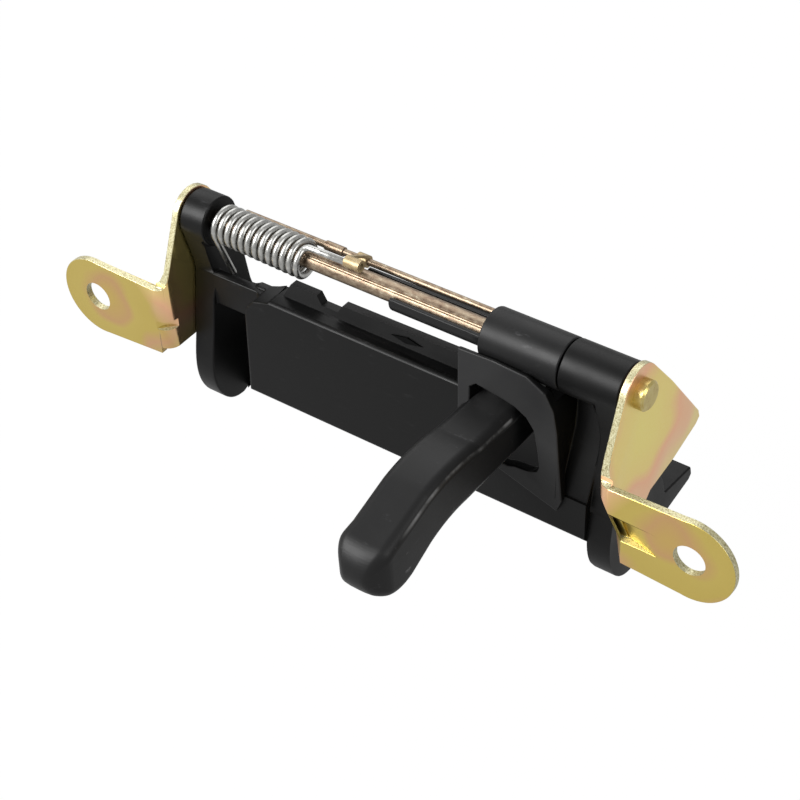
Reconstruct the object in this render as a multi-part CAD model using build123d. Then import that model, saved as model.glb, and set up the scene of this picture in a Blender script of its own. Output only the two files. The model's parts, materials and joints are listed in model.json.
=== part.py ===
from build123d import *
import math
import os

os.makedirs("parts", exist_ok=True)

# Millimetres, +Z up. X runs along the hinge pin from left to right and -Y is the side on which the hook reaches out.
# The shapes are drawn about the middle of the pin, with angles in section measured from +Y towards +Z. The saved
# parts are moved so that the origin is midway between the two bolt holes, on the face that seats on the body panel.

# Clearances
running_fit = 0.05
side_gap = 0.3
moving_gap = 0.45

# Hinge pin
pin_radius = 2.25
pin_head_radius = 3.25
pin_head_height = 2.2
pin_seam_width = 0.35
pin_seam_end_x = 40.0
pin_seam_angle = 133.0

# Sheet brackets
sheet = 1.6
web_inner_x = 55.8
web_outer_x = web_inner_x + sheet
bend_radius = 1.5
flange_front_y = -13.8
flange_back_y = flange_front_y + sheet
flange_top_z = -13.9
flange_bottom_z = -32.6
flange_middle_z = (flange_top_z + flange_bottom_z) / 2
bolt_x = 77.0
bolt_z = -23.1
bolt_hole_radius = 3.55
lug_radius = 9.8
lug_lean = 1.5
web_top_radius = 6.2
web_bottom_z = -31.9
slant_top_z = -14.5
slant_foot_z = -26.0
slant_front = 6.0
slant_side = 8.0
long_dent = (14.2, 3.5, 2.75, -23.2)
short_dent = (3.5, 3.5, 1.1, -23.8)

# Moulded handle
barrel_radius = 5.75
bore_radius = pin_radius + running_fit
handle_end_x = web_inner_x - side_gap
left_barrel_x = -49.0
cheek_inner_x = 50.0
wall = 2.4
panel_left_x = -38.6
panel_right_x = 44.0
panel_top_y = -6.7
panel_top_z = -10.7
panel_bottom_y = -8.3
panel_bottom_z = -36.7
floor_z = -50.0
floor_front_y = 3.2
floor_rear_y = 15.5
floor_rear_z = -44.5
lip_y = 25.7
lip_z = -41.6
upstand_y = -1.8
upstand_thickness = 2.0
upstand_top_z = -7.8
upstand_low_z = -10.0
upstand_foot_z = -12.2
ledge_thickness = 2.2
rail_front_y = -3.2
rail_thickness = 2.3
rail_top_z = -12.6
rail_bottom_z = -20.8
recess_y = 1.5
recess_left_x = 34.3
recess_low_z = -26.0
ring_top_y = -7.1
ring_bottom_y = -9.4
ring_thickness = 2.2
stem_left_x = 19.2
stem_right_x = 22.3

# Hook lever
lever_left_x = 23.0
lever_right_x = 41.5
hook_left_x = 21.4
hook_right_x = 33.0
hook_step_y = -9.8
hook_round = 2.4
nose_y = -54.4
nose_round = 5.4
tongue_outer_radius = 3.6
tongue_inner_radius = 2.75
tongue_front_x = -0.5
tongue_rear_x = -10.5

# Torsion spring, torque rod and clip
wire_radius = 0.725
coil_radius = 3.75
coil_start_x = -47.5
coil_end_x = -24.2
coil_last_turn = 120.0
leg_tip_y = 0.7
leg_tip_z = -13.6
coil_sag = 0.25
hold_leg_y = -0.6
hold_leg_z = 3.85
hold_leg_end_x = -10.2
hold_bend = 1.5
runs_per_turn = 14
wire_sides = 10
rod_radius = 0.775
rod_y = 5.6
rod_left_x = -46.0
rod_seat_depth = 7.0
rod_boss_radius = 1.7
crimp_left_x = -23.8
crimp_right_x = -19.0
crimp_height = 0.3
clip_left_x = -15.2
clip_right_x = -9.4
clip_rod_end_x = -12.5
clip_leg_start_x = -13.3
clip_thickness = 0.6


def save(shape, name):
    """Writes one part with the origin on the seat face, midway between the bolts."""
    export_step(Pos(0, -flange_back_y, -bolt_z) * shape, f"parts/{name}.step")


def across(points, x0, x1):
    """Solid of a closed YZ section run along X."""
    plane = Plane(origin=(x0, 0, 0), x_dir=(0, 1, 0), z_dir=(1, 0, 0))
    return extrude(plane * make_face(Polyline(*points, close=True)), amount=x1 - x0)


def through(points, y0, y1):
    """Solid of a closed XZ outline run along Y."""
    plane = Plane(origin=(0, y1, 0), x_dir=(1, 0, 0), z_dir=(0, -1, 0))
    return extrude(plane * make_face(Polyline(*points, close=True)), amount=y1 - y0)


def bar(radius, x0, x1, y=0.0, z=0.0):
    """Round bar along X."""
    return Pos((x0 + x1) / 2, y, z) * Rot(0, 90, 0) * Cylinder(radius, x1 - x0)


def block(x0, x1, y0, y1, z0, z1):
    """Box between two corners."""
    return Pos((x0 + x1) / 2, (y0 + y1) / 2, (z0 + z1) / 2) * Box(x1 - x0, y1 - y0, z1 - z0)


def arc_points(radius, start, end, count, y=0.0, z=0.0):
    """Points of an arc in section, angles in degrees from +Y towards +Z."""
    turns = [math.radians(start + (end - start) * i / (count - 1)) for i in range(count)]
    return [(y + radius * math.cos(a), z + radius * math.sin(a)) for a in turns]


# Sheet bracket: an L-shaped band bent from one sheet, trimmed by the two outlines of its blank
bend_x = web_outer_x + bend_radius
bend_y = flange_back_y + bend_radius
outer_bend = bend_radius + sheet
band_end_x = bolt_x + 2 * lug_radius
with BuildSketch(Plane.XY.offset(2 * flange_bottom_z)) as band_sketch:
    with BuildLine():
        Line((web_outer_x, bend_y), (web_outer_x, lip_y))
        Line((web_outer_x, lip_y), (web_inner_x, lip_y))
        Line((web_inner_x, lip_y), (web_inner_x, bend_y))
        RadiusArc((web_inner_x, bend_y), (bend_x, flange_front_y), -outer_bend)
        Line((bend_x, flange_front_y), (band_end_x, flange_front_y))
        Line((band_end_x, flange_front_y), (band_end_x, flange_back_y))
        Line((band_end_x, flange_back_y), (bend_x, flange_back_y))
        RadiusArc((bend_x, flange_back_y), (web_outer_x, bend_y), bend_radius)
    make_face()
band = extrude(band_sketch.sketch, amount=-4 * flange_bottom_z)
lug_start_x = bolt_x - lug_lean
lug = extrude(
    Plane(origin=(0, flange_back_y + 1, 0), x_dir=(1, 0, 0), z_dir=(0, -1, 0))
    * make_face(
        Line((bend_x, web_bottom_z), (bend_x, flange_top_z))
        + Line((bend_x, flange_top_z), (lug_start_x, flange_middle_z + lug_radius))
        + ThreePointArc(
            (lug_start_x, flange_middle_z + lug_radius),
            (bolt_x + lug_radius + 0.2, bolt_z),
            (lug_start_x, flange_middle_z - lug_radius),
        )
        + Line((lug_start_x, flange_middle_z - lug_radius), (bend_x, web_bottom_z))
    ),
    amount=sheet + 2,
)
web_corner = [(flange_front_y - 1, flange_top_z), (-13.3, flange_top_z), (-12.6, -13.5), (-12.1, -12.7)]


def dent(flange_leg, web_leg, half_height, z, skin):
    """Wedge across the outer corner of the bend, from its front to the line between the two legs."""
    lean = math.hypot(flange_leg, web_leg) / (flange_leg * web_leg) * skin
    front_leg = flange_leg * (1 + lean)
    side_leg = web_leg * (1 + lean)
    wedge = Polyline(
        (web_inner_x - 1, flange_front_y - 1), (web_inner_x + front_leg, flange_front_y - 1),
        (web_inner_x + front_leg, flange_front_y), (web_inner_x, flange_front_y + side_leg),
        (web_inner_x - 1, flange_front_y + side_leg), close=True,
    )
    return extrude(Pos(0, 0, z - half_height - skin) * make_face(wedge), amount=2 * (half_height + skin))


def bracket(web_back, foot_z, arc_end, bend_dent):
    """Bracket on the right, with the rear outline of its web and the size of its dent."""
    web_arc = arc_points(web_top_radius, 166, arc_end, 11)
    web_foot = [(flange_front_y - 1, foot_z)]
    blank = across(web_corner + web_arc + web_back + web_foot, web_inner_x - 1, bend_x)
    shape = (band & blank) + (band & lug)
    inner_corner = block(web_outer_x, band_end_x, flange_back_y, lip_y, web_bottom_z, flange_top_z)
    shape += dent(*bend_dent, sheet) & inner_corner
    shape -= dent(*bend_dent, 0)
    shape -= Pos(bolt_x, flange_front_y, bolt_z) * Rot(90, 0, 0) * Cylinder(bolt_hole_radius, 12)
    return shape - bar(pin_radius + running_fit, web_inner_x - 1, web_outer_x + 1)


def slanted_corner(skin):
    """Everything in front of a bend that widens downwards, with its face moved in by the skin."""
    top = Vector(web_inner_x, flange_front_y, slant_top_z)
    along_flange = Vector(web_inner_x + slant_front, flange_front_y, slant_foot_z) - top
    along_web = Vector(web_inner_x, flange_front_y + slant_side, slant_foot_z) - top
    outward = along_web.cross(along_flange).normalized()
    reach = 60
    upper = Plane(origin=top - outward * skin, z_dir=outward) * Pos(0, 0, reach / 2) * Box(reach, reach, reach)
    upper &= block(web_inner_x - 1, band_end_x, flange_front_y - 1, lip_y, slant_foot_z, slant_top_z + 2 * skin)
    chord = math.hypot(slant_front, slant_side)
    level = Vector(-slant_side, -slant_front, 0) / chord
    foot = Vector(web_inner_x + slant_front, flange_front_y, 0) - level * skin
    lower = Plane(origin=foot, x_dir=(0, 0, 1), z_dir=level) * Pos(0, 0, reach / 2) * Box(3 * reach, reach, reach)
    lower &= block(web_inner_x - 1, band_end_x, flange_front_y - 1, lip_y, 2 * slant_foot_z, slant_foot_z)
    return upper + lower


wing = [(12.3, -5.6), (23.7, -21.5), (24.2, -23.4), (22.8, -24.6), (14.1, -27.5), (5.0, -29.3), (2.2, web_bottom_z)]
right_bracket = bracket(wing, web_bottom_z, 38, long_dent)
right_bracket += slanted_corner(sheet) & block(
    web_outer_x, bolt_x - lug_radius, flange_back_y, lip_y, web_bottom_z, flange_top_z
)
right_bracket -= slanted_corner(0)
save(right_bracket, "right_bracket")
short_wing = [(8.3, -5.6), (8.5, -23.0), (5.0, -29.3), (-2.0, -30.1)]
save(mirror(bracket(short_wing, -30.1, 12, short_dent), Plane.YZ), "left_bracket")

# Hinge pin: a rolled rod with its seam towards the viewer and a riveted head outside each bracket
pin = bar(pin_radius, -web_outer_x, web_outer_x)
seam = math.radians(pin_seam_angle)
pin -= bar(
    pin_seam_width, -pin_seam_end_x, pin_seam_end_x, pin_radius * math.cos(seam), pin_radius * math.sin(seam)
)
for side in (-1, 1):
    head = bar(pin_head_radius, web_outer_x, web_outer_x + pin_head_height)
    head = chamfer(head.edges().group_by(Axis.X)[-1], 0.45)
    pin += head if side > 0 else mirror(head, Plane.YZ)
save(pin, "pivot_pin")

# Handle body: two cheeks on barrels, joined by a hollow panel and the finger plate under it
floor_under = [(floor_rear_y, floor_rear_z), (24.6, -42.6), (lip_y, lip_z), (25.3, -39.4)]
cheek_side = [(-5.4, -27.0), (-4.1, -19.4), (-3.0, -13.0), (-3.4, -10.0), (-5.6, -1.2), (5.7, 0.6), (7.7, -14.5)]
cheek_side += [(8.6, -21.0), (10.5, -28.0), (13.7, -34.4), (14.4, -38.4)] + floor_under[::-1] + [(1.7, floor_z)]
cheek_nose = Spline((-5.4, -27.0), (-7.0, -34.7), (-7.3, -39.0), (-6.3, -44.0), (-3.4, -48.3), (1.7, floor_z))
cheek_face = Plane(origin=(0, 0, 0), x_dir=(0, 1, 0), z_dir=(1, 0, 0)) * make_face(Polyline(*cheek_side) + cheek_nose)
cheek = extrude(cheek_face, amount=handle_end_x - cheek_inner_x)
handle = Pos(cheek_inner_x, 0, 0) * cheek + Pos(-handle_end_x, 0, 0) * cheek
handle += bar(barrel_radius, -handle_end_x, left_barrel_x)
handle += bar(barrel_radius, lever_right_x + side_gap, handle_end_x)

# The panel is one bent wall: ledge, front, sloping under side and the start of the finger plate
ledge = [(upstand_y + upstand_thickness, panel_top_z), (panel_top_y, panel_top_z)]
front = [(panel_bottom_y, panel_bottom_z), (floor_front_y, floor_z + 0.5), (8.0, -47.5), (8.0, -45.0)]
inside = [(floor_front_y + 1, -46.4), (panel_bottom_y + wall, panel_bottom_z + 0.8)]
under_ledge = [(panel_top_y + wall, panel_top_z - ledge_thickness)]
back_ledge = [(upstand_y + upstand_thickness, panel_top_z - ledge_thickness)]
panel = across(ledge + front + inside + under_ledge + back_ledge, panel_left_x, stem_right_x)
corner_cut = through(
    [(panel_left_x - 1, -17.7), (panel_left_x, -17.7), (-37.9, -14.6), (-35.8, -12.2), (-31.5, -10.9),
     (-31.5, -9.0), (panel_left_x - 1, -9.0)],
    -12, upstand_y + upstand_thickness + 1,
)
panel -= corner_cut
panel += through(
    [(-39.3, -14.5), (-39.3, upstand_foot_z - 0.5), (-38.6, upstand_foot_z), (-30.8, upstand_foot_z),
     (-28.6, upstand_top_z), (-21.5, upstand_top_z), (-20.3, upstand_low_z), (-16.0, upstand_low_z),
     (-14.5, upstand_top_z), (stem_right_x, upstand_top_z + 0.4), (stem_right_x, panel_top_z - 1),
     (-31.5, panel_top_z - 1), (-31.5, -14.5)],
    upstand_y, upstand_y + upstand_thickness,
)
low_y = panel_top_y - 1.1
low_front = [(low_y, -27.5), (panel_bottom_y, panel_bottom_z)]
low_back = [(low_y + wall, -27.5)]
panel += across(low_front + front[1:] + inside + low_back, stem_right_x, cheek_inner_x)
slope = [(low_y + wall, -31.0), (low_y, -31.0), (low_y, -29.0), (recess_y, -6.5), (recess_y, -2.0)]
panel += across(slope + [(recess_y + wall, -2.0), (recess_y + wall, -7.5)], panel_right_x - 1.6, cheek_inner_x)
panel += block(recess_left_x, panel_right_x, recess_y, recess_y + wall, recess_low_z, -2.0)
handle += panel
floor_top = [(floor_rear_y, floor_rear_z + 2.5), (floor_front_y + 1.8, -46.4)]
floor = [(floor_front_y + 1.8, -48.8)] + floor_under + floor_top
handle += across(floor, -cheek_inner_x, cheek_inner_x)
pocket_floor = [(floor_front_y, floor_z + 0.5), (floor_rear_y, floor_rear_z)] + floor_top
handle += across(pocket_floor, -cheek_inner_x, panel_left_x + 1)

# Rail from the left cheek to the panel, turning forward where it meets the panel
rail = Polyline(
    (-cheek_inner_x, rail_front_y), (-37.5, rail_front_y), (-31.5, panel_top_y - 0.1), (-31.5, panel_top_y + wall),
    (-36.6, rail_front_y + rail_thickness), (-cheek_inner_x, rail_front_y + rail_thickness), close=True,
)
handle += extrude(Pos(0, 0, rail_bottom_z) * make_face(rail), amount=rail_top_z - rail_bottom_z)

# Portal frame that the hook passes, standing a little proud of the panel
portal = [
    (stem_left_x, -0.6), (27.5, -0.3), (35.6, -0.8), (40.0, -3.2), (42.2, -6.8), (43.2, -11.6), (43.8, -18.0),
    (44.9, -28.0), (43.7, -31.3), (29.4, -26.8), (stem_left_x, -26.8),
]
window = [
    (stem_right_x, -9.1), (23.7, -7.8), (29.3, -8.6), (33.0, -9.4), (35.8, -10.9), (37.6, -13.2), (38.6, -17.9),
    (39.4, -21.8), (38.9, -23.3), (37.2, -24.1), (33.1, -24.3), (31.4, -24.9), (stem_right_x, -24.9),
]
slab = across(
    [(ring_top_y, 1.0), (ring_bottom_y, -36.0), (ring_bottom_y + ring_thickness, -36.0),
     (ring_top_y + ring_thickness, 1.0)],
    stem_left_x - 1, 46,
)
ring = through(portal, -14, 2) & slab
side_wall = across(
    [(ring_top_y, -3.0), (ring_bottom_y + 0.4, -28.0), (recess_y + wall, -28.0), (recess_y + wall, -3.0)],
    panel_right_x - 2.6, panel_right_x - 0.6,
)
handle += ring
handle += side_wall & through(portal, -14, 10)
handle -= through(window, -14, recess_y)
handle -= bar(barrel_radius + moving_gap, stem_left_x - 1, lever_right_x + side_gap)
handle -= bar(bore_radius, -60, 60)
save(handle, "handle_body")

# Hook lever: barrel on the pin, arm down behind the portal, hook out through it, half-round tongue under the pin
side_plane = Plane(origin=(hook_left_x - 1, 0, 0), x_dir=(0, 1, 0), z_dir=(1, 0, 0))
with BuildSketch(side_plane) as hook_sketch:
    with BuildLine():
        Line((-2.0, -11.4), (-19.0, -10.9))
        ThreePointArc((-19.0, -10.9), (-27.5, -9.95), (-36.5, -11.0))
        Line((-36.5, -11.0), (-49.2, -15.2))
        TangentArc((-49.2, -15.2), (-52.4, -26.4), tangent=(-12.7, -4.2))
        ThreePointArc((-52.4, -26.4), (-47.2, -28.4), (-42.0, -27.6))
        Line((-42.0, -27.6), (-36.0, -24.7))
        ThreePointArc((-36.0, -24.7), (-30.4, -23.2), (-24.0, -22.9))
        Polyline((-24.0, -22.9), (0.0, -22.6), (4.4, -20.0), (5.0, -2.0), (0.6, -2.0), (0.6, -9.0), (-2.0, -11.4))
    make_face()
hook = extrude(hook_sketch.sketch, amount=hook_right_x - hook_left_x + 2)
hook_end = block(hook_left_x, hook_right_x, nose_y, 10, floor_z, 0)
hook &= fillet(hook_end.edges().filter_by(Axis.Z).group_by(Axis.Y)[0], nose_round)
rounded = []
for edge in hook.edges():
    middle = edge.center()
    span = edge.bounding_box().size
    outline = span.Y > 3 and span.X < 2 and (middle.Z < -22 or middle.Z > -14)
    if middle.Y < -45 or (middle.Y < -8.1 and outline):
        rounded.append(edge)
hook = fillet(rounded, hook_round)
hook -= block(hook_left_x - 1, lever_left_x, hook_step_y, 10, -60, 10)
lever = hook + bar(barrel_radius, lever_left_x, lever_right_x)
lever += bar(rod_boss_radius, lever_left_x, lever_left_x + rod_seat_depth + 1, rod_y)
tongue = bar(tongue_outer_radius, tongue_rear_x, lever_left_x) - bar(
    tongue_inner_radius, tongue_rear_x - 1, lever_left_x
)
tongue &= block(tongue_rear_x, lever_left_x + 1, -5, 5, -5, 1.0)
tongue -= across([(0, 0), (-6, 2.2), (-6, 3), (0, 3)], tongue_rear_x - 1, lever_left_x)
tongue -= block(tongue_rear_x - 1, tongue_front_x, -5, 1.0, -5, 5)
lever += tongue
lever -= bar(bore_radius, lever_left_x - 0.01, lever_right_x + 1)
lever -= bar(rod_radius, lever_left_x - 1, lever_left_x + rod_seat_depth, rod_y)
save(lever, "hook_lever")

# Torque rod in the lever's boss
rod = bar(rod_radius, rod_left_x, lever_left_x + rod_seat_depth, rod_y)
rod += bar(rod_radius + crimp_height, crimp_left_x, crimp_right_x, rod_y)
save(rod, "torque_rod")

# Torsion spring: left leg down to the rail, left-hand coil, right leg along the pin into the clip
reach = math.hypot(leg_tip_y, leg_tip_z)
leg_length = math.sqrt(reach**2 - coil_radius**2)
first_turn = math.degrees(math.atan2(leg_tip_z, leg_tip_y) - math.acos(coil_radius / reach)) % 360
turns = 12 + (first_turn - coil_last_turn) / 360
wire = [(coil_start_x, leg_tip_y, leg_tip_z)]
runs = round(turns * runs_per_turn)
for step in range(runs + 1):
    turn = math.radians(first_turn - 360 * turns * step / runs)
    x = coil_start_x + (coil_end_x - coil_start_x) * step / runs
    sag = coil_sag * step / runs
    wire.append((x, coil_radius * math.cos(turn) - sag, coil_radius * math.sin(turn) - sag))
wire.append((coil_end_x + hold_bend, hold_leg_y, hold_leg_z))
wire.append((hold_leg_end_x, hold_leg_y, hold_leg_z))
wire_path = Polyline(*wire)
wire_start = Plane(origin=wire_path @ 0, z_dir=wire_path % 0)
spring = sweep(wire_start * RegularPolygon(wire_radius, wire_sides), wire_path, transition=Transition.RIGHT)
save(spring, "torsion_spring")

# Clip: a bent strip from the torque rod over the pin to the end of the spring's right leg
rod_eye = rod_radius + clip_thickness
leg_eye = wire_radius + clip_thickness
lean = math.atan2(hold_leg_z, hold_leg_y - rod_y)
out_y = math.sin(lean)
out_z = -math.cos(lean)
band_in = rod_eye - clip_thickness
clip = bar(rod_eye, clip_left_x, clip_rod_end_x, rod_y) + bar(
    leg_eye, clip_leg_start_x, clip_right_x, hold_leg_y, hold_leg_z
)
clip += across(
    [(rod_y + out_y * band_in, out_z * band_in), (rod_y + out_y * rod_eye, out_z * rod_eye),
     (hold_leg_y + out_y * leg_eye, hold_leg_z + out_z * leg_eye),
     (hold_leg_y + out_y * band_in, hold_leg_z + out_z * band_in)],
    clip_leg_start_x, clip_rod_end_x,
)
clip -= bar(rod_radius, clip_left_x - 1, clip_right_x + 1, rod_y)
clip -= bar(wire_radius, clip_left_x - 1, clip_right_x + 1, hold_leg_y, hold_leg_z)
save(clip, "spring_clip")
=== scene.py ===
import json
import math

import bmesh
import bpy
from mathutils import Matrix, Vector

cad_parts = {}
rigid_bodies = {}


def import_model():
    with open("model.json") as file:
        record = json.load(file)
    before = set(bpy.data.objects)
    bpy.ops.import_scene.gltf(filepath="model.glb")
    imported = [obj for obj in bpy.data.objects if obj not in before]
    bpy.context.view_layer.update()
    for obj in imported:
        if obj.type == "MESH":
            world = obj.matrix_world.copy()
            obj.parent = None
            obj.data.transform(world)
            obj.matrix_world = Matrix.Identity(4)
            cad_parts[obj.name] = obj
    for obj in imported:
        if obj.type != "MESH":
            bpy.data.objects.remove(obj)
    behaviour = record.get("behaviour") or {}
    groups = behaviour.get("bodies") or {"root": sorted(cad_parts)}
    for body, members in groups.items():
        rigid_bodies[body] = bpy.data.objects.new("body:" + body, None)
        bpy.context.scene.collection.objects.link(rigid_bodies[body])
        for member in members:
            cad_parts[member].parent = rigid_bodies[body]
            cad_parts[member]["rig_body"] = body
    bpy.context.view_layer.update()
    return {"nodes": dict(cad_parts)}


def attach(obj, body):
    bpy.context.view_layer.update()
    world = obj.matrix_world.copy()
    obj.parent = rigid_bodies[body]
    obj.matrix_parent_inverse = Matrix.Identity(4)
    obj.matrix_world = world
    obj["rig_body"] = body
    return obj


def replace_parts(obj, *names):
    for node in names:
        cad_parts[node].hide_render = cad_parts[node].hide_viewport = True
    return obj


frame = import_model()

MM = 0.001

# All lengths below are millimetres and all angles degrees, unless a line says otherwise

# Camera: the photograph's own view
CAMERA_AZIMUTH = 39.1
CAMERA_ELEVATION = 40.3
CAMERA_ROLL = -4.05
CAMERA_DISTANCE = 431.0
CAMERA_TARGET = (-2.16, 12.2, -6.25)
CAMERA_LENS = 90.0
CAMERA_SENSOR = 36.0
CAMERA_NEAREST = 10.0

# Hinge pin
PIN_Y = 12.2
PIN_Z = 23.1
HEAD_FACE_X = 57.3

# Sheet brackets: the bend, its gusset and where the colours of the plating are centred
WEB_INNER_X = 55.8
SHEET = 1.6
BEND_RADIUS = 1.5
BEND_REAR_Y = 1.0
GUSSET_REACH = 4.0
WEB_TONE_PLACE = (57.0, 13.0, 14.0)
WEB_TONE_REACH = 22.0
FLANGE_TONE_PLACE = (74.0, 0.0, 1.0)
FLANGE_TONE_REACH = 20.0
TONE_WAVER = 0.22

# Front panel of the handle and the small steps that stay crisp
PANEL_FRONT_Y = 5.5
PANEL_TOP_Z = 12.4
PANEL_LEFT_X = -38.6
RIM_DEPTH = 2.2
RIM_LENGTH = 3.0
ON_LINE = 0.3
LEDGE_STEP = 0.8
LEDGE_FRONT_Y = 6.5
UPSTAND_REAR_Y = 13.5
UPSTAND_TOP_Z = 16.0
CHEEK_STEP_X = 36.0
CHEEK_STEP_Z = 2.0

# Upstand behind the ledge, whose front slopes, and the lozenge on its slope
UPSTAND_FRONT_Y = 10.4
UPSTAND_LEAN = 1.1
UPSTAND_HEIGHT = 2.9
MARK_LONG = 4.2
MARK_WIDE = 0.75
MARK_HIGH = 0.3
MARK_TOP_SHARE = 0.86
MARK_PLACE = (2.6, 9.9, 13.8)

# Front of the portal frame: a leaning plane, given by its upper and lower end
PORTAL_LEFT_X = 8.0
PORTAL_TOP_Y = 5.1
PORTAL_TOP_Z = 24.1
PORTAL_BOTTOM_Y = 2.8
PORTAL_DROP = 37.0

# Tip of the hook: drawn in all round, rounded in plan and a little fuller on the left
NOSE_START_Y = -34.0
NOSE_TIP_Y = -41.85
NOSE_X = 27.2
NOSE_Z = 1.9
NOSE_HALF = 5.8
NOSE_DRAW = 0.07
NOSE_BACK = 2.0
NOSE_SWELL = 0.8
NOSE_SWELL_RISE = 1.2
NOSE_CUTS = 7
NOSE_SIDE_CUTS = 3
NOSE_SIDE_STEP = 1.4

# Line of flash along the hook's right side, left by the two halves of its mould
FLASH_X = 32.72
FLASH_CORE = 0.06
FLASH_FADE = 0.22
FLASH_START_Y = -34.0
FLASH_RISE = 6.0
FLASH_END_Y = 4.5
FLASH_FALL = 1.0

# Corners closer than this are one corner, and a slice this close to a corner passes through it
SAME_CORNER = 0.002
SLICE_REACH = 0.0001

# How near a corner or a face is to the line or plane that it is looked for on
ON_CORNER = 0.05
ON_FACE = 0.2

# Rounding of sharp edges: full width on the rims, a share of it elsewhere, and none on short edges
# or beside small faces
RIM_ROUNDING = 1.0
LEVER_ROUNDING = 0.8
SHEET_ROUNDING = 0.5
HEAD_ROUNDING = 0.8
ROUNDING_STEPS = 3
UPRIGHT_SHARE = 0.9
FLAT_ANGLE = 0.05
ROUNDED_ANGLE = 28.0
CRISP_ANGLE = 4.0
LIGHT_SHARE = 0.4
SHORT_EDGE = 0.5
SMALL_FACE = 0.35

# Torsion spring: a left-hand coil with one leg down to the rail, whose tip is given from the pin's axis,
# and one leg along the pin
WIRE_RADIUS = 0.725
COIL_RADIUS = 3.8
COIL_START_X = -47.5
COIL_END_X = -24.2
COIL_LAST_TURN = 120.0
COIL_TURNS = 12
STEPS_PER_TURN = 36
WIRE_SIDES = 16
COIL_SAG = 0.5
COIL_SHIFT = 0.25
LEG_TIP_Y = 0.7
LEG_TIP_Z = -13.6
HOLD_LEG_END_X = -10.2
HOLD_BEND = 1.5
HOLD_BEND_STEPS = 10

# Patterns of the finishes, in cycles per metre
PLASTIC_GRAIN = 3200.0
PLASTIC_CLOUDS = 70.0
PLASTIC_SCUFFS = 260.0
FLASH_BREAKS = 160.0
ZINC_WAVER = 75.0
ZINC_SPECKLE = 1500.0
EDGE_PITS = 3000.0
PIN_BLOTCHES = 1000.0
ROD_BLOTCHES = 1400.0
WIRE_BLOTCHES = 900.0
SMALL_BLOTCHES = 500.0
ALONG_BAR = (0.5, 1.0, 1.0)

# Tones of the metals, from the darkest to the lightest blotches
PINK_PLATING = [
    (0.3, (0.10, 0.06, 0.04)), (0.46, (0.22, 0.16, 0.11)), (0.6, (0.30, 0.24, 0.17)),
    (0.78, (0.74, 0.67, 0.52)),
]
HEAD_PLATING = [(0.3, (0.42, 0.30, 0.10)), (0.5, (0.52, 0.42, 0.15)), (0.7, (0.60, 0.50, 0.24))]
CLIP_PLATING = [(0.3, (0.24, 0.16, 0.08)), (0.5, (0.34, 0.26, 0.14)), (0.72, (0.52, 0.44, 0.29))]
BRIGHT_STEEL = [(0.3, (0.30, 0.30, 0.29)), (0.55, (0.46, 0.46, 0.44)), (0.75, (0.62, 0.62, 0.60))]

# Studio: sizes and places in metres, power in watts, levels as shares of white
FLOOR_SIZE = 6.0
FLOOR_Z = -0.075
FLOOR_COLOUR = (0.2, 0.2, 0.2, 1.0)
FLOOR_GLOW = 1.03
FLOOR_SEEN = 0.96
FLOOR_MIRRORED = 0.55
WORLD_ON_OBJECT = 0.55
WORLD_SEEN = 1.0
SOFT_BOXES = {
    "key_box": ((-0.48, -0.64, 0.52), 0.5, 15.0),
    "right_box": ((0.85, -0.15, 0.5), 0.5, 4.0),
    "back_box": ((-0.48, 0.55, 0.68), 0.8, 4.0),
}


def new_material(name):
    """A new material with its tree and its shader."""
    made = bpy.data.materials.new(name)
    made.use_nodes = True
    return made, made.node_tree, made.node_tree.nodes["Principled BSDF"]


def pattern(tree, scale, detail=4.0, roughness=0.55, stretch=(1.0, 1.0, 1.0)):
    """Noise in object space, in cycles per metre, stretched along the axes."""
    place = tree.nodes.new("ShaderNodeTexCoord")
    mapping = tree.nodes.new("ShaderNodeMapping")
    mapping.inputs["Scale"].default_value = stretch
    noise = tree.nodes.new("ShaderNodeTexNoise")
    noise.inputs["Scale"].default_value = scale
    noise.inputs["Detail"].default_value = detail
    noise.inputs["Roughness"].default_value = roughness
    tree.links.new(place.outputs["Object"], mapping.inputs["Vector"])
    tree.links.new(mapping.outputs["Vector"], noise.inputs["Vector"])
    return noise.outputs["Fac"]


def ramp(tree, source, stops):
    """Colours along a value."""
    node = tree.nodes.new("ShaderNodeValToRGB")
    bands = node.color_ramp
    for index, (place, colour) in enumerate(stops):
        stop = bands.elements[index] if index < 2 else bands.elements.new(place)
        stop.position = place
        stop.color = (*colour, 1.0)
    tree.links.new(source, node.inputs["Fac"])
    return node.outputs["Color"]


def spread(tree, source, low, high, start=0.3, end=0.7):
    """A value carried from one range to another."""
    node = tree.nodes.new("ShaderNodeMapRange")
    node.inputs["From Min"].default_value = start
    node.inputs["From Max"].default_value = end
    node.inputs["To Min"].default_value = low
    node.inputs["To Max"].default_value = high
    tree.links.new(source, node.inputs["Value"])
    return node.outputs["Result"]


def reckoned(tree, operation, first, second=None):
    """One step of arithmetic on a value, with another value or a number."""
    node = tree.nodes.new("ShaderNodeMath")
    node.operation = operation
    tree.links.new(first, node.inputs[0])
    if isinstance(second, float):
        node.inputs[1].default_value = second
    elif second is not None:
        tree.links.new(second, node.inputs[1])
    return node.outputs[0]


def blended(tree, amount, first, second):
    """Two colours mixed by a value."""
    node = tree.nodes.new("ShaderNodeMix")
    node.data_type = "RGBA"
    tree.links.new(amount, node.inputs["Factor"])
    tree.links.new(first, node.inputs[6])
    tree.links.new(second, node.inputs[7])
    return node.outputs[2]


def relief(tree, shader, source, depth):
    """Bump from a value, with its depth in millimetres."""
    node = tree.nodes.new("ShaderNodeBump")
    node.inputs["Strength"].default_value = 1.0
    node.inputs["Distance"].default_value = depth * MM
    tree.links.new(source, node.inputs["Height"])
    tree.links.new(node.outputs["Normal"], shader.inputs["Normal"])


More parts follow.
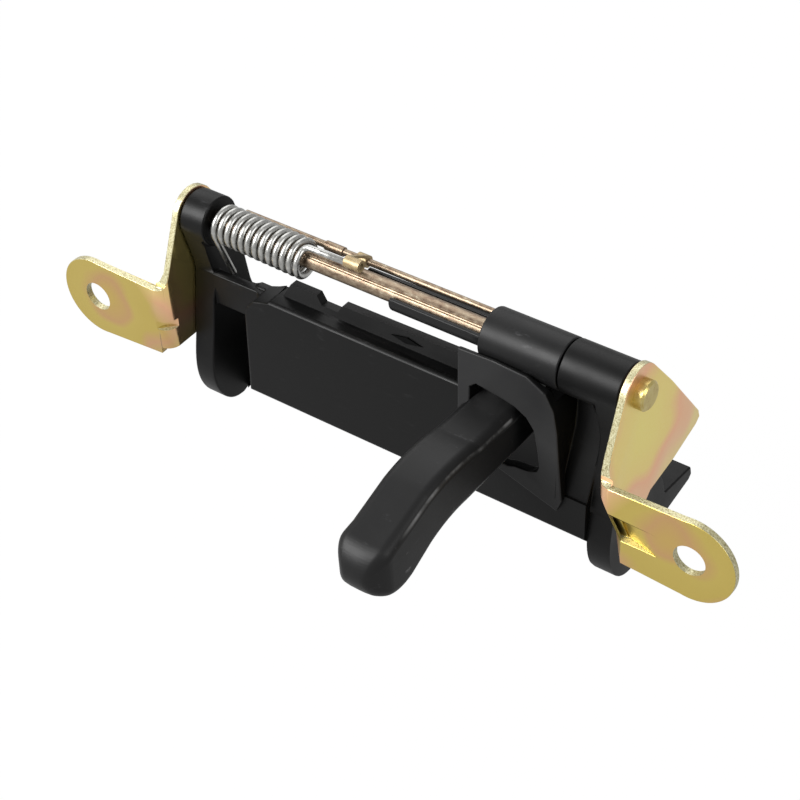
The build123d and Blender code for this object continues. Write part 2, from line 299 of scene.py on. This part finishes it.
def flash_line(tree, surface, rub, shade):
    """A surface colour with the thin, broken, pale line of flash along the hook."""
    place = tree.nodes.new("ShaderNodeTexCoord")
    axes = tree.nodes.new("ShaderNodeSeparateXYZ")
    tree.links.new(place.outputs["Object"], axes.inputs["Vector"])
    away = reckoned(tree, "ABSOLUTE", reckoned(tree, "SUBTRACT", axes.outputs["X"], FLASH_X * MM))
    held = spread(tree, away, 1.0, 0.0, FLASH_CORE * MM, FLASH_FADE * MM)
    broken = spread(tree, pattern(tree, FLASH_BREAKS, detail=5.0), 0.1, 0.9, 0.38, 0.6)
    along = axes.outputs["Y"]
    on_hook = spread(tree, along, 1.0, 0.0, (FLASH_END_Y - FLASH_FALL) * MM, FLASH_END_Y * MM)
    behind_nose = spread(tree, along, 0.0, 1.0, FLASH_START_Y * MM, (FLASH_START_Y + FLASH_RISE) * MM)
    for share in (broken, on_hook, behind_nose):
        held = reckoned(tree, "MULTIPLY", held, share)
    pale = ramp(tree, rub, [(0.3, (shade * 1.4,) * 3), (0.7, (shade * 2.4,) * 3)])
    return blended(tree, held, surface, pale)


def black_plastic(name, shade, gloss, scuff, sheen=0.17, flash=False):
    """Satin black moulding with a fine grain, cloudy gloss and a few dull grey scuffs."""
    made, tree, shader = new_material(name)
    grain = pattern(tree, PLASTIC_GRAIN, detail=3.0)
    cloud = pattern(tree, PLASTIC_CLOUDS, detail=5.0)
    rub = pattern(tree, PLASTIC_SCUFFS, detail=8.0, roughness=0.7, stretch=(0.5, 1.0, 1.6))
    plain = ramp(tree, cloud, [(0.3, (shade * 0.85, shade * 0.85, shade * 0.88)), (0.72, (shade * 1.15,) * 3)])
    worn = ramp(tree, rub, [(0.6, (shade * 1.05,) * 3), (0.76, (scuff, scuff, scuff * 1.04))])
    surface = blended(tree, spread(tree, rub, 0.0, 1.0, 0.59, 0.73), plain, worn)
    if flash:
        surface = flash_line(tree, surface, rub, scuff)
    tree.links.new(surface, shader.inputs["Base Color"])
    tree.links.new(spread(tree, cloud, gloss - 0.05, gloss + 0.08), shader.inputs["Roughness"])
    shader.inputs["Specular IOR Level"].default_value = sheen
    relief(tree, shader, grain, 0.01)
    return made


def rings(tree, centre, reach):
    """Distance from a point over a reach, wavered by noise: contours of a plating's colour."""
    place = tree.nodes.new("ShaderNodeTexCoord")
    measure = tree.nodes.new("ShaderNodeVectorMath")
    measure.operation = "DISTANCE"
    measure.inputs[1].default_value = [c * MM for c in centre]
    tree.links.new(place.outputs["Object"], measure.inputs[0])
    far = reckoned(tree, "DIVIDE", measure.outputs["Value"], reach * MM)
    waver = spread(tree, pattern(tree, ZINC_WAVER, detail=1.0), -TONE_WAVER, TONE_WAVER, 0.2, 0.8)
    return reckoned(tree, "ADD", far, waver)


def yellow_zinc(name, side, rough):
    """Yellow chromate over zinc: olive yellow in the middle of a face, pink and orange towards its border. The
    flange's tones are darker than the web's, as painted shade.
    """
    made, tree, shader = new_material(name)
    web_x, web_y, web_z = WEB_TONE_PLACE
    flange_x, flange_y, flange_z = FLANGE_TONE_PLACE
    web = rings(tree, (side * web_x, web_y, web_z), WEB_TONE_REACH)
    flange = rings(tree, (side * flange_x, flange_y, flange_z), FLANGE_TONE_REACH)
    web_tones = ramp(tree, web, [
        (0.0, (0.86, 0.74, 0.24)), (0.5, (0.86, 0.68, 0.24)), (0.72, (0.88, 0.50, 0.30)),
        (0.86, (0.86, 0.56, 0.34)), (1.0, (0.84, 0.68, 0.32)),
    ])
    # Painted shade: the flange's tones are set darker than the web's, over the plating's own olive and pink.
    flange_tones_with_painted_shade = ramp(tree, flange, [
        (0.0, (0.62, 0.44, 0.13)), (0.26, (0.62, 0.38, 0.17)), (0.42, (0.62, 0.48, 0.13)),
        (0.7, (0.60, 0.46, 0.12)), (0.88, (0.64, 0.38, 0.20)), (1.0, (0.58, 0.44, 0.16)),
    ])
    share = spread(tree, reckoned(tree, "SUBTRACT", web, flange), 0.0, 1.0, -0.15, 0.15)
    tree.links.new(blended(tree, share, web_tones, flange_tones_with_painted_shade), shader.inputs["Base Color"])
    shader.inputs["Metallic"].default_value = 0.95
    speckle = pattern(tree, ZINC_SPECKLE, detail=3.0)
    tree.links.new(spread(tree, speckle, rough - 0.03, rough + 0.06), shader.inputs["Roughness"])
    relief(tree, shader, speckle, 0.0015)
    return made


def cut_edge(name):
    """Sheared and tumbled edge of the sheet: pale plating with coarse dark pits."""
    made, tree, shader = new_material(name)
    pits = pattern(tree, EDGE_PITS, detail=2.0, roughness=0.6)
    tree.links.new(ramp(tree, pits, [
        (0.32, (0.22, 0.19, 0.09)), (0.46, (0.42, 0.38, 0.22)), (0.68, (0.58, 0.56, 0.37)),
    ]), shader.inputs["Base Color"])
    shader.inputs["Metallic"].default_value = 0.6
    shader.inputs["Roughness"].default_value = 0.38
    relief(tree, shader, pits, 0.02)
    return made


def plated_bar(name, tones, roughness, scale, stretch=(1.0, 1.0, 1.0), metal=0.85):
    """Plated or bright metal with blotches, which a stretch under 1 draws out along that axis."""
    made, tree, shader = new_material(name)
    blotch = pattern(tree, scale, detail=7.0, roughness=0.7, stretch=stretch)
    tree.links.new(ramp(tree, blotch, tones), shader.inputs["Base Color"])
    shader.inputs["Metallic"].default_value = metal
    tree.links.new(spread(tree, blotch, roughness - 0.06, roughness + 0.12), shader.inputs["Roughness"])
    relief(tree, shader, blotch, 0.02)
    return made


def dress(node, made):
    """Gives a solid's object a finish in every slot."""
    piece = frame["nodes"][node]
    if not piece.material_slots:
        piece.data.materials.append(made)
    for place in piece.material_slots:
        place.material = made


def placed(mesh_piece, name, node, made):
    """A finished mesh as a piece that rides with a solid's body."""
    data = bpy.data.meshes.new(name)
    mesh_piece.to_mesh(data)
    mesh_piece.free()
    piece = bpy.data.objects.new(name, data)
    bpy.context.scene.collection.objects.link(piece)
    for finish in made:
        data.materials.append(finish)
    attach(piece, frame["nodes"][node]["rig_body"])
    return piece


def softened(
    node, name, width, made, second=None, heavy=None, spare=None, reshape=None, crisp=False,
):
    """The solid's own shape as a piece with its sharp edges rounded.

    Faces that `second` picks take the next finish. Edges that `heavy` picks are rounded by the full width,
    those that `spare` picks stay sharp and the rest are rounded by a share of the width. `reshape` changes the
    shape first. A crisp piece keeps its shallow creases.
    """
    shape = bmesh.new()
    shape.from_mesh(frame["nodes"][node].data)
    bmesh.ops.remove_doubles(shape, verts=shape.verts, dist=SAME_CORNER * MM)
    bmesh.ops.dissolve_limit(shape, angle_limit=math.radians(FLAT_ANGLE), verts=shape.verts, edges=shape.edges)
    if reshape is not None:
        reshape(shape)
    for face in shape.faces:
        face.smooth = True
        face.material_index = int(second is not None and second(face.calc_center_median() / MM, face.normal))
    weight = shape.edges.layers.float.new("bevel_weight_edge")
    for edge in shape.edges:
        if len(edge.link_faces) != 2:
            continue
        turned = edge.calc_face_angle(0.0)
        if turned < math.radians(ROUNDED_ANGLE):
            rise = abs(edge.verts[0].co.z - edge.verts[1].co.z)
            upright = rise > UPRIGHT_SHARE * edge.calc_length()
            edge.smooth = upright or turned < math.radians(CRISP_ANGLE) or not crisp
            continue
        areas = [face.calc_area() / MM ** 2 for face in edge.link_faces]
        ends = (edge.verts[0].co / MM, edge.verts[1].co / MM)
        kept = spare is not None and spare(*ends, edge.link_faces)
        if kept or edge.calc_length() / MM < SHORT_EDGE or min(areas) < SMALL_FACE:
            edge.smooth = False
            continue
        edge[weight] = 1.0 if heavy is not None and heavy(*ends) else LIGHT_SHARE
    piece = placed(shape, name, node, made)
    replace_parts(piece, node)
    round_off = piece.modifiers.new("rounded_edges", "BEVEL")
    round_off.width = width * MM
    round_off.segments = ROUNDING_STEPS
    round_off.limit_method = "WEIGHT"
    round_off.use_clamp_overlap = False
    round_off.miter_outer = "MITER_ARC"
    piece.modifiers.new("even_shading", "WEIGHTED_NORMAL").keep_sharp = True


def is_panel_rim(one, other):
    """The rounded top and left edges of the panel's front."""
    if max(abs(one.y - PANEL_FRONT_Y), abs(other.y - PANEL_FRONT_Y)) > RIM_DEPTH:
        return False
    along_top = max(abs(one.z - PANEL_TOP_Z), abs(other.z - PANEL_TOP_Z)) < ON_LINE
    down_left = max(abs(one.x - PANEL_LEFT_X), abs(other.x - PANEL_LEFT_X)) < ON_LINE
    long_top = along_top and abs(one.x - other.x) > RIM_LENGTH
    long_left = down_left and abs(one.z - other.z) > RIM_LENGTH
    return long_top or long_left


def lean_upstand(shape):
    """Brings the foot of the upstand's front forward, so that it slopes down to the ledge."""
    for vert in shape.verts:
        at = vert.co / MM
        if abs(at.y - UPSTAND_FRONT_Y) < ON_CORNER and abs(at.z - PANEL_TOP_Z) < ON_CORNER:
            vert.co.y -= UPSTAND_LEAN * MM


def is_fine_line(one, other, faces):
    """Small steps of the moulding that stay crisp: along the upstand and beside the right cheek."""
    front, rear = min(one.y, other.y), max(one.y, other.y)
    low, high = min(one.z, other.z), max(one.z, other.z)
    on_upstand = low > PANEL_TOP_Z - LEDGE_STEP and high < UPSTAND_TOP_Z and LEDGE_FRONT_Y < front
    beside_cheek = min(one.x, other.x) > CHEEK_STEP_X and front < LEDGE_FRONT_Y and high < CHEEK_STEP_Z
    return (on_upstand and rear < UPSTAND_REAR_Y) or beside_cheek


def is_inside_sheet(one, other, faces):
    """Edges that aren't where a sheet's side meets its cut edge."""
    return faces[0].material_index == faces[1].material_index


def is_pin_body(one, other, faces):
    """Edges of the pin between its heads, the seam's among them."""
    return min(abs(one.x), abs(other.x)) < HEAD_FACE_X


def sliced(shape, faces, place, normal):
    """Cuts faces by a plane, with no shape taken away."""
    rims = {edge for face in faces for edge in face.edges}
    ends = {vert for edge in rims for vert in edge.verts}
    cut = faces + list(rims) + list(ends)
    bmesh.ops.bisect_plane(shape, geom=cut, dist=SLICE_REACH * MM, plane_co=Vector(place) * MM, plane_no=normal)


def round_nose(shape):
    """Draws the hook's tip in towards its middle and its corners back, so that it ends in a dome."""
    for slice_y in range(NOSE_CUTS):
        sliced(shape, shape.faces[:], (0.0, NOSE_START_Y - slice_y, 0.0), (0.0, 1.0, 0.0))
    for slice_x in range(-NOSE_SIDE_CUTS, NOSE_SIDE_CUTS + 1):
        tip = [face for face in shape.faces if face.calc_center_median().y < NOSE_START_Y * MM]
        sliced(shape, tip, (NOSE_X + slice_x * NOSE_SIDE_STEP, 0.0, 0.0), (1.0, 0.0, 0.0))
    for vert in shape.verts:
        reach = (NOSE_START_Y - vert.co.y / MM) / (NOSE_START_Y - NOSE_TIP_Y)
        if reach > 0.0:
            draw = 1.0 - NOSE_DRAW * reach ** 4
            aside = min(abs(vert.co.x / MM - NOSE_X) / NOSE_HALF, 1.0)
            vert.co.y += NOSE_BACK * reach ** 2 * aside ** 2.5 * MM
            vert.co.x = (NOSE_X + (vert.co.x / MM - NOSE_X) * draw) * MM
            if vert.co.x < NOSE_X * MM:
                vert.co.x -= NOSE_SWELL * min(NOSE_SWELL_RISE * reach, 1.0) * MM
            vert.co.z = (NOSE_Z + (vert.co.z / MM - NOSE_Z) * draw) * MM


def is_cut_edge(middle, normal):
    """Faces between the two sides of the sheet."""
    side = abs(middle.x)
    web_outer_x = WEB_INNER_X + SHEET
    if side < web_outer_x + ON_FACE and middle.y > BEND_REAR_Y:
        return abs(normal.x) < 0.5
    if side > web_outer_x + BEND_RADIUS + GUSSET_REACH:
        return abs(normal.y) < 0.5
    return abs(normal.z) > 0.8


def is_portal_front(middle, normal):
    """The frame round the hook, proud of the panel, which takes a lighter black as painted light and is a
    little duller.
    """
    lean = (PORTAL_TOP_Y - PORTAL_BOTTOM_Y) / PORTAL_DROP
    front_y = PORTAL_TOP_Y - lean * (PORTAL_TOP_Z - middle.z)
    return middle.x > PORTAL_LEFT_X and abs(middle.y - front_y) < ON_FACE and normal.y < -0.7


def is_pin_head(middle, normal):
    """Faces of the riveted heads."""
    return abs(middle.x) > HEAD_FACE_X


def verts_of(drawn):
    """The vertices among what an operator returned."""
    return [part for part in drawn if isinstance(part, bmesh.types.BMVert)]


def faces_of(drawn):
    """The faces among what an operator returned."""
    return [part for part in drawn if isinstance(part, bmesh.types.BMFace)]


def gate_mark(made):
    """Small lozenge left by the mould on the slope in front of the upstand."""
    slope = math.atan2(UPSTAND_HEIGHT, UPSTAND_LEAN)
    shape = bmesh.new()
    turn = Matrix.Rotation(slope, 4, "X") @ Matrix.Diagonal((MARK_LONG * MM, MARK_WIDE * MM, MM, 1.0))
    bmesh.ops.create_circle(shape, cap_ends=True, segments=4, radius=1.0, matrix=turn)
    drawn = bmesh.ops.extrude_face_region(shape, geom=shape.faces[:])["geom"]
    raised = verts_of(drawn)
    off_slope = Vector((0.0, -math.sin(slope), math.cos(slope)))
    bmesh.ops.translate(shape, vec=off_slope * MARK_HIGH * MM, verts=raised)
    bmesh.ops.scale(shape, vec=(MARK_TOP_SHARE,) * 3, verts=raised)
    bmesh.ops.translate(shape, vec=Vector(MARK_PLACE) * MM, verts=shape.verts)
    bmesh.ops.recalc_face_normals(shape, faces=shape.faces)
    placed(shape, "gate_mark", "handle_body", [made])


def coil_spring(made):
    """Torsion spring wound round the pin, with smooth round wire.

    A straight leg runs up from the rail and meets the coil as a tangent. The coil is wound along the pin and
    sags a little towards its far end, where the wire bends into the leg along the pin.
    """
    reach = math.hypot(LEG_TIP_Y, LEG_TIP_Z)
    leg_length = math.sqrt(reach ** 2 - COIL_RADIUS ** 2)
    first_turn = (math.degrees(math.atan2(LEG_TIP_Z, LEG_TIP_Y) - math.acos(COIL_RADIUS / reach))) % 360.0
    turns = COIL_TURNS + (first_turn - COIL_LAST_TURN) / 360.0
    angle = math.radians(first_turn)
    out = Vector((0.0, math.cos(angle), math.sin(angle)))
    along = Vector((0.0, math.sin(angle), -math.cos(angle)))
    centre = Vector((COIL_START_X, PIN_Y, PIN_Z))
    start = centre + out * COIL_RADIUS
    shape = bmesh.new()
    turn_in = Matrix((Vector((1.0, 0.0, 0.0)), out, along)).transposed().to_4x4()
    tip = Matrix.Translation((start - along * leg_length) * MM) @ turn_in
    bmesh.ops.create_circle(shape, cap_ends=True, segments=WIRE_SIDES, radius=WIRE_RADIUS * MM, matrix=tip)
    drawn = bmesh.ops.extrude_face_region(shape, geom=shape.faces[:])["geom"]
    bmesh.ops.translate(shape, vec=along * leg_length * MM, verts=verts_of(drawn))
    steps = round(turns * STEPS_PER_TURN)
    pitch = (COIL_END_X - COIL_START_X) / steps
    wound = bmesh.ops.spin(
        shape, geom=faces_of(drawn), cent=centre * MM, axis=(1.0, 0.0, 0.0), dvec=(pitch * MM, 0.0, 0.0),
        angle=-math.radians(turns * 360.0), steps=steps, use_merge=False, use_duplicate=False,
    )["geom_last"]
    for vert in shape.verts:
        share = min(max((vert.co.x / MM - COIL_START_X) / (COIL_END_X - COIL_START_X), 0.0), 1.0)
        vert.co.z -= COIL_SAG * MM * share
        vert.co.y -= COIL_SHIFT * MM * share
    last = math.radians(COIL_LAST_TURN)
    radial = Vector((0.0, math.cos(last), math.sin(last)))
    rim = [vert.co for face in faces_of(wound) for vert in face.verts]
    end = sum(rim, Vector()) / len(rim)
    bend = bmesh.ops.spin(
        shape, geom=faces_of(wound), cent=end + Vector((HOLD_BEND * MM, 0.0, 0.0)), axis=radial,
        dvec=(0.0, 0.0, 0.0), angle=math.radians(-90.0), steps=HOLD_BEND_STEPS, use_merge=False,
        use_duplicate=False,
    )["geom_last"]
    tail = verts_of(bmesh.ops.extrude_face_region(shape, geom=faces_of(bend))["geom"])
    tail_x = sum(vert.co.x for vert in tail) / len(tail)
    bmesh.ops.translate(shape, vec=(HOLD_LEG_END_X * MM - tail_x, 0.0, 0.0), verts=tail)
    inside = [face for face in shape.faces if all(len(edge.link_faces) > 2 for edge in face.edges)]
    bmesh.ops.delete(shape, geom=inside, context="FACES_ONLY")
    bmesh.ops.recalc_face_normals(shape, faces=shape.faces)
    for face in shape.faces:
        face.smooth = len(face.verts) == 4
    return placed(shape, "coil_spring", "torsion_spring", [made])


def stage_floor():
    """White studio floor that still takes the object's shadow, and that metal mirrors as a softer white."""
    bpy.ops.mesh.primitive_plane_add(size=FLOOR_SIZE, location=(0.0, 0.0, FLOOR_Z))
    floor = bpy.context.object
    floor.name = "studio_floor"
    made, tree, shader = new_material("studio_white")
    shader.inputs["Base Color"].default_value = FLOOR_COLOUR
    shader.inputs["Roughness"].default_value = 0.9
    path = tree.nodes.new("ShaderNodeLightPath")
    glow = tree.nodes.new("ShaderNodeEmission")
    glow.inputs["Strength"].default_value = FLOOR_GLOW
    seen = reckoned(tree, "MULTIPLY", path.outputs["Is Camera Ray"], FLOOR_SEEN)
    mirrored = reckoned(tree, "MULTIPLY", path.outputs["Is Glossy Ray"], FLOOR_MIRRORED)
    blend = tree.nodes.new("ShaderNodeMixShader")
    tree.links.new(reckoned(tree, "MAXIMUM", seen, mirrored), blend.inputs["Fac"])
    tree.links.new(shader.outputs["BSDF"], blend.inputs[1])
    tree.links.new(glow.outputs["Emission"], blend.inputs[2])
    tree.links.new(blend.outputs["Shader"], tree.nodes["Material Output"].inputs["Surface"])
    floor.data.materials.append(made)


def studio_light():
    """Soft boxes round the object and a plain white world."""
    world = bpy.data.worlds.new("studio_world")
    bpy.context.scene.world = world
    world.use_nodes = True
    tree = world.node_tree
    sky = tree.nodes["Background"]
    sky.inputs["Color"].default_value = (1.0, 1.0, 1.0, 1.0)
    path = tree.nodes.new("ShaderNodeLightPath")
    level = spread(tree, path.outputs["Is Camera Ray"], WORLD_ON_OBJECT, WORLD_SEEN, 0.0, 1.0)
    tree.links.new(level, sky.inputs["Strength"])
    for name, (place, size, power) in SOFT_BOXES.items():
        lamp = bpy.data.lights.new(name, "AREA")
        lamp.size = size
        lamp.energy = power
        holder = bpy.data.objects.new(name, lamp)
        bpy.context.scene.collection.objects.link(holder)
        holder.location = place
        holder.rotation_mode = "QUATERNION"
        holder.rotation_quaternion = Vector(place).to_track_quat("Z", "Y")


def photo_camera():
    """Camera at the photograph's angle, with its small roll."""
    azimuth = math.radians(CAMERA_AZIMUTH)
    elevation = math.radians(CAMERA_ELEVATION)
    roll = math.radians(CAMERA_ROLL)
    back = Vector((math.sin(azimuth) * math.cos(elevation), -math.cos(azimuth) * math.cos(elevation),
                   math.sin(elevation)))
    level_right = Vector((math.cos(azimuth), math.sin(azimuth), 0.0))
    level_up = back.cross(level_right)
    right = level_right * math.cos(roll) + level_up * math.sin(roll)
    up = level_up * math.cos(roll) - level_right * math.sin(roll)
    spot = (Vector(CAMERA_TARGET) + back * CAMERA_DISTANCE) * MM
    lens = bpy.data.cameras.new("photo_camera")
    lens.lens = CAMERA_LENS
    lens.sensor_width = CAMERA_SENSOR
    lens.clip_start = CAMERA_NEAREST * MM
    holder = bpy.data.objects.new("photo_camera", lens)
    bpy.context.scene.collection.objects.link(holder)
    turn = Matrix((right, up, back)).transposed().to_4x4()
    holder.matrix_world = Matrix.Translation(spot) @ turn
    bpy.context.scene.camera = holder


def mouldings():
    """The black handle, whose portal front takes painted light as a lighter black that is also a little duller,
    and the black lever with a line of flash.
    """
    handle_black = black_plastic("handle_black", 0.0022, 0.42, 0.024)
    # Painted light: the portal's front gets a lighter black than the panel's, standing in for the light it
    # catches; its roughness is also a little higher.
    portal_black_painted_light = black_plastic("portal_black_painted_light", 0.018, 0.45, 0.03)
    softened(
        "handle_body", "handle_moulding", RIM_ROUNDING, [handle_black, portal_black_painted_light],
        second=is_portal_front, heavy=is_panel_rim, spare=is_fine_line, reshape=lean_upstand,
    )
    lever_black = black_plastic("lever_black", 0.0085, 0.42, 0.085, flash=True)
    softened(
        "hook_lever", "lever_moulding", LEVER_ROUNDING, [lever_black], reshape=round_nose,
    )


def brackets():
    """The two zinc-plated sheets, the right one a little duller."""
    sheared = cut_edge("sheared_edge")
    for side_name, side, rough in (("left", -1, 0.2), ("right", 1, 0.36)):
        zinc = yellow_zinc(side_name + "_zinc", side, rough)
        softened(
            side_name + "_bracket", side_name + "_plate", SHEET_ROUNDING, [zinc, sheared],
            second=is_cut_edge, spare=is_inside_sheet, crisp=True,
        )


def hinge_pin():
    """The rolled pin with its riveted heads."""
    pin_plating = plated_bar("pin_plating", PINK_PLATING, 0.36, PIN_BLOTCHES, stretch=ALONG_BAR)
    head_zinc = plated_bar("head_zinc", HEAD_PLATING, 0.3, SMALL_BLOTCHES)
    softened(
        "pivot_pin", "pin_bar", HEAD_ROUNDING, [pin_plating, head_zinc],
        second=is_pin_head, spare=is_pin_body,
    )


def spring_and_rod():
    """The spring on the pin, and the rod and clip beside it."""
    spring_steel = plated_bar("spring_steel", BRIGHT_STEEL, 0.32, WIRE_BLOTCHES, metal=1.0)
    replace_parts(coil_spring(spring_steel), "torsion_spring")
    dress("spring_clip", plated_bar("clip_zinc", CLIP_PLATING, 0.45, SMALL_BLOTCHES, metal=0.6))
    dress("torque_rod", plated_bar("rod_plating", PINK_PLATING, 0.4, ROD_BLOTCHES, stretch=ALONG_BAR))


mouldings()
brackets()
hinge_pin()
# Painted shade: the lozenge takes a darker and less shiny black than the panel, standing in for the shade on
# this small mark.
gate_mark(black_plastic("mark_painted_shade", 0.001, 0.5, 0.002, sheen=0.05))
spring_and_rod()
stage_floor()
studio_light()
photo_camera()
bpy.context.scene.view_settings.view_transform = "Standard"
